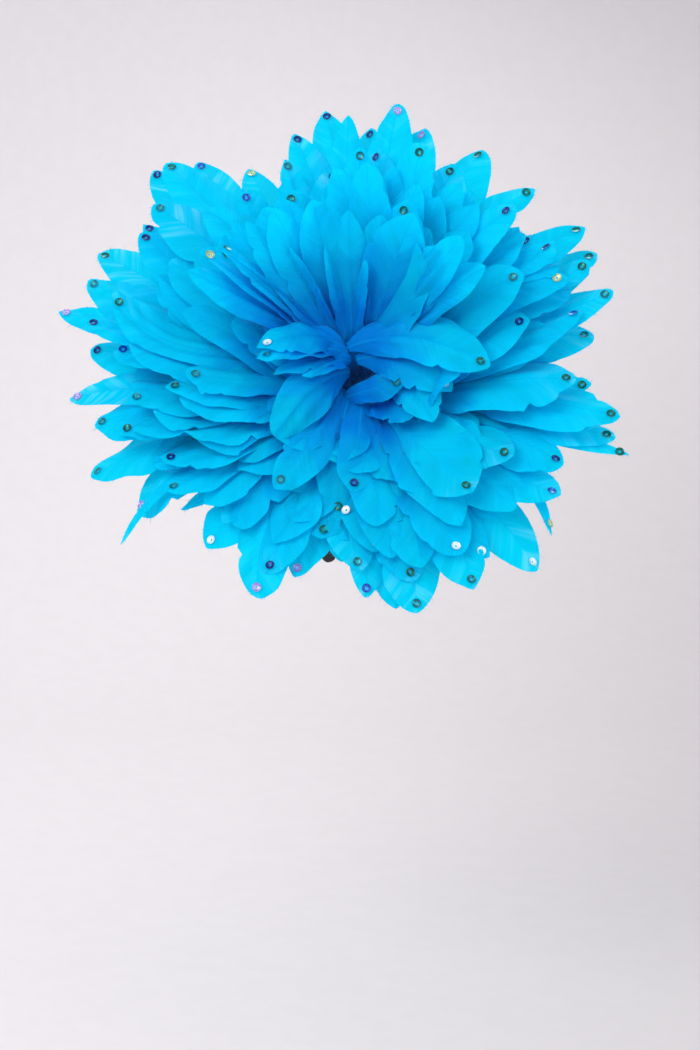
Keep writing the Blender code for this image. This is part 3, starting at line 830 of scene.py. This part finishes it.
def makeBarbEnds(made, material):
    draw = np.random.default_rng(barbEnds["seed"])
    strands, shades, vanes = [], [], []
    for feather in made:
        share, across = feather["grid"]
        n = len(share) - 1
        for _ in range(barbEnds["perFeather"]):
            i = int(n * (1 - abs(draw.normal(0, 0.22)) % 0.75))
            i = min(max(i, 4), n - 1)
            left = draw.uniform() < 0.5
            if feather["half"] < barbEnds["narrow"] and draw.uniform() < 0.5:
                continue
            place, way, forward = edgePlace(feather, i, left)
            way = unit(way * 0.8 + forward * draw.uniform(0.1, 0.7) + draw.normal(0, 0.10, 3))
            bend, length = draw.normal(0, 0.16, 3), draw.uniform(*barbEnds["length"]) + barbEnds["sunk"]
            strands.append((place - way * barbEnds["sunk"], way, bend, length))
            j = 0 if left else -1
            shades.append((share[i, j], 0.5, feather["tone"] + 0.12))
            vanes.append((share[i, j] * 0.2, across[i, j], feather["seed"]))
    mesh, which, _ = strandMesh("barbEnds", strands, barbEnds["radius"], barbEnds["steps"])
    storeOnPoints(mesh, "shade", np.array(shades)[which])
    storeOnPoints(mesh, "vane", np.array(vanes)[which])
    placePiece(mesh, material)


# Dark down round the flower's middle and at the roots of the inner feathers.
down = {
    "heart": 800,
    "place": (6, 6, 0),  # across, up and forward in mm from the flower's centre
    "heartRadius": 13 * mm,
    "heartLength": (4 * mm, 14 * mm),
    "perFeather": 38,
    "firstRow": 5,
    "length": (5 * mm, 12 * mm),
    "sunk": 1.0 * mm,
    "radius": 0.16 * mm,
    "steps": 5,
    "dark": (0.0, 0.016, 0.16, 1),
    "light": (0.0, 0.17, 0.54, 1),
    "ends": (0.0, 0.20, 0.58, 1),
    "seed": 5,
}


def makeDown(made, material):
    draw = np.random.default_rng(down["seed"])
    strands, depth = [], []
    top = rowHeight(len(rows) - 1) - 0.5 * mm
    for _ in range(down["heart"]):
        clock = draw.uniform(0, 2 * math.pi)
        reach = down["heartRadius"] * math.sqrt(draw.uniform())
        lean = reach / down["heartRadius"] * 1.1 + draw.normal(0, 0.25)
        root = flowerPoint(reach, clock, top) + beforeCentre(down["place"]) - centre
        way = unit(axis * math.cos(lean) + outwardAt(clock) * math.sin(lean))
        bend = draw.normal(0, 0.25, 3) - axis * 0.15
        strands.append((root, way, bend, draw.uniform(*down["heartLength"])))
        depth.append(draw.uniform(0, 0.35))
    for feather in made:
        if feather["row"] < down["firstRow"]:
            continue
        n = len(feather["points"]) - 1
        for _ in range(down["perFeather"]):
            i = draw.integers(2, int(n * 0.42))
            place, way, forward = edgePlace(feather, i, draw.uniform() < 0.5)
            way = way * draw.uniform(0.2, 0.8) + forward * draw.uniform(0.3, 1.0)
            way = unit(way + axis * draw.uniform(0, 0.5))
            bend, length = draw.normal(0, 0.25, 3), draw.uniform(*down["length"])
            strands.append((place - way * down["sunk"], way, bend, length))
            depth.append(draw.uniform(0.2, 1.0))
    mesh, which, s = strandMesh("heartDown", strands, down["radius"], down["steps"])
    storeOnPoints(mesh, "shade", np.stack([np.array(depth)[which], s, np.zeros(len(which))], 1))
    placePiece(mesh, material)


def downFinish(name):
    finish = Finish(name)
    depth, along, _ = finish.stored("shade")
    colour = finish.blend(depth, down["dark"], down["light"])
    colour = finish.blend(finish.spread(along, 0.4, 1.0, 0.0, 0.5), colour, down["ends"])
    finish.shade({"Base Color": colour, "Roughness": 0.6})
    return finish.material


# Quads between rings of points.
def ringQuads(rings, around, closed=True):
    k, i = np.meshgrid(np.arange(rings if closed else rings - 1), np.arange(around), indexing="ij")
    here, ahead, j = k * around, (k + 1) % rings * around, (i + 1) % around
    return np.stack([here + j, here + i, ahead + i, ahead + j], -1).reshape(-1, 4)


# A closed body turned about the flower's axis from its profile, pairs of reach and height.
def turnedBody(name, profile, count, waves=(), most=1.0):
    clocks = np.linspace(0, 2 * math.pi, count, endpoint=False)
    wobble = np.ones(count)
    for size, turns, start in waves:
        wobble = wobble + size * np.sin(turns * clocks + start)
    places = [
        flowerPoint(np.minimum(reach * wobble, most), clocks, np.full(count, height))
        for reach, height in profile
    ]
    return meshFromArrays(name, np.concatenate(places), ringQuads(len(places), count))


# The quills of each row are bound to a thread-wound stem.
binding = {
    "bossShare": 0.72,
    "around": 72,
    "threads": 4,
    "threadDepth": 0.18 * mm,
    "hollow": 0.6 * mm,
}


def makeBinding(row, material):
    ring, high, hollow = rows[row][0] * mm, rowHeight(row), binding["hollow"]
    boss = ring * binding["bossShare"]
    low = high - flower["rowStep"] + 0.6 * mm if row else flower["firstRow"] - 0.3 * mm
    profile = [
        (hollow, high + 0.35 * mm), (ring * 0.5, high + 0.45 * mm), (ring * 0.94, high + 0.30 * mm),
        (ring * 0.99, high), (ring * 0.94, high - 0.45 * mm), (boss * 1.03, high - 0.55 * mm),
    ]
    steps = binding["threads"] * 4
    for k in range(steps + 1):
        z = high - 0.6 * mm + (low - high + 0.6 * mm) * k / steps
        profile.append((boss + binding["threadDepth"] * math.cos(2 * math.pi * k / 4), z))
    profile.append((hollow, low))
    mesh = turnedBody(f"binding{row + 1:02d}", profile, binding["around"])
    mesh.set_sharp_from_angle(angle=math.radians(50))
    placePiece(mesh, material)


# Felt disc under the flower.
felt = {
    "radius": 65 * mm,
    "thick": 3 * mm,
    "edgeRound": 1.3 * mm,
    "hollow": 0.5 * mm,
    "around": 160,
    "waves": ((0.004, 5, 1), (0.003, 11, 0)),  # share of the radius, how many, start
    "dark": (0.006, 0.05, 0.14, 1),
    "light": (0.012, 0.10, 0.24, 1),
}


def makeBase(material):
    radius, thick, edge = felt["radius"], felt["thick"], felt["edgeRound"]
    profile = [(felt["hollow"], thick)] + [(radius * share, thick) for share in (0.3, 0.6, 0.9)]
    for k in range(7):
        turn = math.pi / 2 - math.pi * k / 6
        high = thick - edge if k < 3.5 else edge
        profile.append((radius - edge + edge * math.cos(turn), high + edge * math.sin(turn)))
    profile += [(radius * share, 0) for share in (0.9, 0.6, 0.3)] + [(felt["hollow"], 0)]
    mesh = turnedBody("feltBase", profile, felt["around"], felt["waves"], radius * 1.004)
    placePiece(mesh, material, ["base"])


def feltFinish(name):
    finish = Finish(name)
    place = finish.place()
    fibres = finish.noise(place, 900.0, 4.0, 0.7)
    patches = finish.noise(place, 60.0, 3.0, 0.5)
    mixed = finish.blend(finish.spread(fibres, 0.3, 0.7), felt["dark"], felt["light"])
    mixed = finish.dim(mixed, finish.spread(patches, 0.3, 0.7, 0.75, 1.05))
    finish.shade({"Base Color": mixed, "Roughness": 0.95, "Sheen Weight": 0.05, "Specular IOR Level": 0.1})
    finish.bumps(finish.sums("ADD", fibres, finish.times(patches, 0.5)), 0.8, 0.0006)
    return finish.material


# Headband: an elliptical crown and longer arms, wound with satin ribbon.
band = {
    "width": 14 * mm,
    "thick": 2.4 * mm,
    "halfSpan": 72 * mm,
    "crownRise": 90 * mm,
    "armLength": 190 * mm,
    "drop": 178 * mm,
    "lean": 10,
    "ribbonStep": 9.5 * mm,
    "ribbonRise": 0.22 * mm,
    "sections": 420,
    "around": 40,
    "dark": (0.006, 0.005, 0.008, 1),
    "light": (0.020, 0.017, 0.022, 1),
}


# The band's inner middle line, from one end (-1) over the crown (0) to the other end (1).
def bandPlaces(distances):
    halfSpan, crownRise = band["halfSpan"], band["crownRise"]
    table = []
    for turn in np.linspace(0, math.pi / 2, 200):
        table.append((halfSpan * math.sin(turn), crownRise * (math.cos(turn) - 1)))
    endTurn = math.asin((band["drop"] - crownRise) / band["armLength"])
    for turn in np.linspace(0, endTurn, 160)[1:]:
        table.append((halfSpan * math.cos(turn), -crownRise - band["armLength"] * math.sin(turn)))
    table = np.array(table)
    reached = np.concatenate([[0], np.cumsum(np.linalg.norm(np.diff(table, axis=0), axis=1))])
    total = reached[-1]
    share = np.clip(np.abs(distances), 0, 1) * total
    y = np.interp(share, reached, table[:, 0]) * np.sign(distances)
    z = np.interp(share, reached, table[:, 1])
    return np.stack([np.zeros_like(y), y, z], 1), total


def makeBand(material):
    halfWidth, halfThick, count = band["width"] / 2, band["thick"] / 2, band["around"]
    distances = np.linspace(-1, 1, band["sections"] + 1)
    middle, total = bandPlaces(distances)
    flow = unit(np.gradient(middle, axis=0))
    normal = np.stack([np.zeros(len(flow)), -flow[:, 2], flow[:, 1]], 1)
    fromEnd = (1 - np.abs(distances)) * total
    wide = np.sqrt(np.clip(1 - np.clip(1 - fromEnd / halfWidth, 0, 1) ** 2, 0.02, 1))
    turns = np.linspace(0, 2 * math.pi, count, endpoint=False)
    loops = []
    for ridge, out, size, away in zip(middle, normal, wide, distances * total):
        x = np.sign(np.cos(turns)) * np.abs(np.cos(turns)) ** 0.55 * band["width"] / 2 * size
        h = np.sign(np.sin(turns)) * np.abs(np.sin(turns)) ** 0.55 * band["thick"] / 2
        # Each turn of ribbon lies over the edge of the one before.
        slant = (away + 0.45 * x) / band["ribbonStep"] % 1
        under = band["ribbonRise"] - band["ribbonRise"] * (slant**0.6 if size > 0.9 else 0.5)
        x = x * (1 - under / halfWidth)
        h = h * (1 - under / halfThick)
        loops.append(ridge + out * halfThick + x[:, None] * np.array([1.0, 0, 0]) + h[:, None] * out)
    places = np.concatenate(loops)
    lean = math.radians(band["lean"])
    turned = places.copy()
    turned[:, 0] = places[:, 0] * math.cos(lean) + places[:, 2] * math.sin(lean)
    turned[:, 2] = -places[:, 0] * math.sin(lean) + places[:, 2] * math.cos(lean)
    ends, last = len(places), len(places) - count
    turned = np.concatenate([turned, turned[:count].mean(0)[None], turned[-count:].mean(0)[None]])
    triangles = [(ends, (i + 1) % count, i) for i in range(count)]
    triangles += [(ends + 1, last + i, last + (i + 1) % count) for i in range(count)]
    quads = ringQuads(len(loops), count, closed=False)[:, [1, 0, 3, 2]]
    mesh = meshFromArrays("satinBand", turned, quads, np.array(triangles))
    placePiece(mesh, material, ["headband"])


def satinFinish(name):
    finish = Finish(name)
    place = finish.place()
    weave = finish.noise(place, 1400.0, 2.0, 0.6)
    folds = finish.noise(place, 90.0, 3.0, 0.5)
    finish.shade({
        "Base Color": finish.blend(finish.spread(folds, 0.3, 0.7), band["dark"], band["light"]),
        "Roughness": finish.spread(weave, 0.2, 0.8, 0.34, 0.50),
        "Sheen Weight": 0.05,
    })
    finish.bumps(finish.sums("ADD", weave, finish.times(folds, 0.8)), 0.35, 0.0004)
    return finish.material


# Cup sequins.
sequin = {
    "radius": 4.0 * mm,
    "fromTip": 8.5 * mm,
    "lift": 0.85 * mm,
    "tilt": 0.16,
    "thick": 0.18 * mm,
    "profile": [(1.1, 0.10), (1.8, 0.26), (2.9, 0.52), (3.7, 0.92), (4.0, 0.98)],  # radius, height in mm
    "sides": 18,
    "solidRows": 3,  # rows whose sequins are solids too
    "seed": 3,
}

# Darker and lighter colour of each kind.
sequinColours = {
    "navy": ((0.003, 0.02, 0.12), (0.02, 0.10, 0.42)),
    "green": ((0.001, 0.080, 0.075), (0.008, 0.27, 0.23)),
    "teal": ((0.004, 0.12, 0.16), (0.03, 0.40, 0.46)),
    "blue": ((0.008, 0.06, 0.34), (0.05, 0.28, 0.75)),
    "lilac": ((0.26, 0.22, 0.55), (0.70, 0.60, 0.92)),
    "straw": ((0.32, 0.42, 0.20), (0.80, 0.88, 0.60)),
    "pearl": ((0.50, 0.64, 0.70), (0.95, 0.98, 0.98)),
}


# A place on a feather's quill, with the directions along, across and off its face.
def surfaceFrame(feather, share):
    step = 2.0 * mm
    length = feather["reach"] - feather["ring"]
    shares, across = np.array([share, share + step / length, share]), np.array([0.0, 0.0, step])
    place, ahead, beside = vanePlace(feather, shares, across)
    along = unit(ahead - place)
    normal = unit(np.cross(along, beside - place))
    if normal @ axis < 0:
        normal = -normal
    return place, along, np.cross(normal, along), normal


def cupPlaces():
    rings, order = [], np.arange(sequin["sides"])
    for level, (radius, height) in enumerate(sequin["profile"]):
        turns = (order + 0.5 * (level % 2)) * 2 * math.pi / sequin["sides"]
        facet = 1 + 0.02 * (order % 2) * (1 < level < 4)
        x, y = radius * np.cos(turns) * facet, radius * np.sin(turns) * facet
        rings.append(np.stack([x, y, np.full(len(order), height)], 1))
    upper = np.concatenate(rings) * mm
    lower = upper.copy()
    lower[:, 2] -= sequin["thick"]
    return np.concatenate([upper, lower])


def cupFaces():
    sides, levels = sequin["sides"], len(sequin["profile"])
    count = sides * levels
    triangles = []
    for k in range(levels - 1):
        for i in range(sides):
            j = (i + 1) % sides
            a, b, c, d = k * sides + i, k * sides + j, (k + 1) * sides + i, (k + 1) * sides + j
            faces = [(a, c, b), (b, c, d)] if k % 2 == 0 else [(a, c, d), (a, d, b)]
            triangles += faces
            triangles += [tuple(count + v for v in reversed(face)) for face in faces]
    for ring, flip in ((0, False), (levels - 1, True)):
        for i in range(sides):
            a, b = ring * sides + i, ring * sides + (i + 1) % sides
            if flip:
                a, b = b, a
            triangles += [(a, b, b + count), (a, b + count, a + count)]
    return np.array(triangles)


def makeSequins(made):
    draw = np.random.default_rng(sequin["seed"])
    cup, faces = cupPlaces(), cupFaces()
    seated = {colour: [] for colour in sequinColours}
    replaced = {colour: [] for colour in sequinColours}
    carriers = [feather for feather in made if feather["sequin"]]
    for number, feather in enumerate(carriers):
        length = feather["reach"] - feather["ring"]
        place, along, side, normal = surfaceFrame(feather, 1 - sequin["fromTip"] / length)
        tilt = draw.normal(0, sequin["tilt"] / 2, 2)
        normal = unit(normal + along * tilt[0] + side * tilt[1])
        along = unit(along - normal * (along @ normal))
        side = np.cross(normal, along)
        spin = draw.uniform(0, 2 * math.pi)
        first = along * math.cos(spin) + side * math.sin(spin)
        places = place + normal * sequin["lift"] + cup @ np.stack([first, np.cross(normal, first), normal])
        seated[feather["sequin"]].append((places, draw.uniform(0, 1)))
        if feather["row"] < sequin["solidRows"]:
            replaced[feather["sequin"]].append(f"sequin_{number + 1:02d}")
    outward = np.linalg.norm(cup[:, :2], axis=1) / sequin["radius"]
    around = np.arctan2(cup[:, 1], cup[:, 0])
    for colour, items in seated.items():
        places = np.concatenate([places for places, _ in items])
        triangles = np.concatenate([faces + k * len(cup) for k in range(len(items))])
        mesh = meshFromArrays(f"sequins{colour.capitalize()}", places, np.zeros((0, 4), int), triangles)
        mesh.shade_flat()
        discs = [np.stack([outward, around, np.full(len(cup), seed)], 1) for _, seed in items]
        storeOnPoints(mesh, "disc", np.concatenate(discs))
        placePiece(mesh, sequinFinish(colour), replaced[colour])
    return len(carriers)


def sequinFinish(colour):
    finish = Finish(colour + "Sequin")
    dark, light = [(*value, 1) for value in sequinColours[colour]]
    outward = finish.stored("disc")[0]
    sheen = finish.noise(finish.place(), 420.0, 2.0, 0.5)
    mixed = finish.blend(finish.spread(sheen, 0.45, 0.80), dark, light)
    mixed = finish.blend(finish.spread(outward, 0.80, 0.93), mixed, dark)
    # Paler round the hole: a painted glint, together with the feather's colour as seen through the hole.
    mixed = finish.blend(finish.spread(outward, 0.27, 0.48, 1.0, 0.0), mixed, light)
    finish.shade({
        "Base Color": mixed,
        "Metallic": 0.25,
        "Specular IOR Level": 0.15,
        "Roughness": finish.spread(sheen, 0.2, 0.8, 0.10, 0.26),
        "Coat Weight": 0.08,
        "Coat Roughness": 0.05,
    })
    finish.bumps(sheen, 0.15, 0.0005)
    return finish.material


# Pale sweep: floor and backdrop in one.
studio = {
    "floor": -0.64,
    "front": -3.2,
    "wall": 2.6,
    "top": 4.5,
    "halfWidth": 4.5,
    "curve": 1.4,
    "colour": (0.635, 0.606, 0.610, 1),
    # The shade colour is painted shade, darker towards the right and on the floor.
    "shade": (0.44, 0.418, 0.420, 1),  # towards the right and on the floor
    "world": (0.93, 0.94, 1.0, 1),
    "worldStrength": 1.06,
}

lights = [
    # name, place, aim, size, power, colour
    ("keyLight", (-1.5, -2.0, 1.6), (0, -0.05, 0.0), 1.9, 46, (1.0, 0.98, 0.95)),
    ("fillLight", (1.9, -1.8, 0.2), (0, -0.05, -0.02), 1.8, 15, (0.95, 0.97, 1.0)),
    ("backLight", (0.3, 1.6, 1.6), (0, 0.0, 0.05), 1.2, 26, (1.0, 1.0, 1.0)),
]

view = {
    "place": (-0.0054776, -2.0837102, 0.1616008),
    "aim": (-0.0099776, -0.1020670, -0.1355415),
    "lens": 76.335,
    "sensor": 36,
}


def makeSweep():
    floor, wall, curve = studio["floor"], studio["wall"], studio["curve"]
    profile = [(studio["front"], floor)]
    for k in range(25):
        turn = -math.pi / 2 + math.pi / 2 * k / 24
        profile.append((wall - curve + curve * math.cos(turn), floor + curve + curve * math.sin(turn)))
    profile.append((wall, studio["top"]))
    across = np.linspace(-studio["halfWidth"], studio["halfWidth"], 13)
    places = np.array([(x, y, z) for y, z in profile for x in across])
    mesh = meshFromArrays("studioSweep", places, sheetQuads(len(profile) - 1, len(across) - 1))
    mesh.materials.append(paperFinish("sweepPaper"))
    addObject("studioSweep", mesh)


def paperFinish(name):
    finish = Finish(name)
    place = finish.place()
    grain = finish.noise(place, 40.0, 3.0, 0.5)
    # Painted shade: darker towards the right and low on the floor, most at the floor's right.
    x, _, z = finish.parts(place)
    below = finish.times(finish.spread(z, 0.1, -0.64, 0.0, 0.50), finish.spread(x, -0.7, 0.5, 0.15, 1.0))
    shade = finish.sums("ADD", finish.spread(x, -0.3, 1.5, 0.0, 0.75), below, clamp=True)
    base = finish.blend(shade, studio["colour"], studio["shade"])
    base = finish.dim(base, finish.spread(grain, 0.3, 0.7, 0.99, 1.01))
    finish.shade({"Base Color": base, "Roughness": 0.9})
    return finish.material


def aimAt(thing, place, aim):
    thing.location = place
    thing.rotation_euler = (Vector(aim) - Vector(place)).to_track_quat("-Z", "Y").to_euler()


def makeLights():
    for name, place, aim, size, power, colour in lights:
        lamp = bpy.data.lights.new(name, "AREA")
        lamp.shape, lamp.size, lamp.energy, lamp.color = "DISK", size, power, colour
        aimAt(addObject(name, lamp), place, aim)
    world = bpy.data.worlds.new("studio")
    bpy.context.scene.world = world
    world.use_nodes = True
    background = world.node_tree.nodes["Background"]
    background.inputs["Color"].default_value = studio["world"]
    background.inputs["Strength"].default_value = studio["worldStrength"]


def makeCamera():
    lens = bpy.data.cameras.new("camera")
    lens.sensor_fit, lens.sensor_height, lens.lens = "VERTICAL", view["sensor"], view["lens"]
    camera = addObject("camera", lens)
    aimAt(camera, view["place"], view["aim"])
    bpy.context.scene.camera = camera


bpy.context.scene.view_settings.view_transform = "Standard"
makeCamera()
makeLights()
makeSweep()
print("camera, lights and sweep are in place")

turquoise = featherFinish("dyedFeatherPaintedLight")
allFeathers = []
for row in range(len(rows)):
    made = rowFeathers(row)
    makeRow(row, made, turquoise)
    allFeathers += made
print("feathers:", len(allFeathers))

makeBarbEnds(allFeathers, turquoise)
makeDown(allFeathers, downFinish("heartDown"))
print("barb ends and down are in place")

navyFelt = feltFinish("navyFelt")
for row in range(len(rows)):
    makeBinding(row, navyFelt)
makeBase(navyFelt)
makeBand(satinFinish("blackSatin"))
print("bindings, felt base and headband are in place")

print("sequins:", makeSequins(allFeathers))
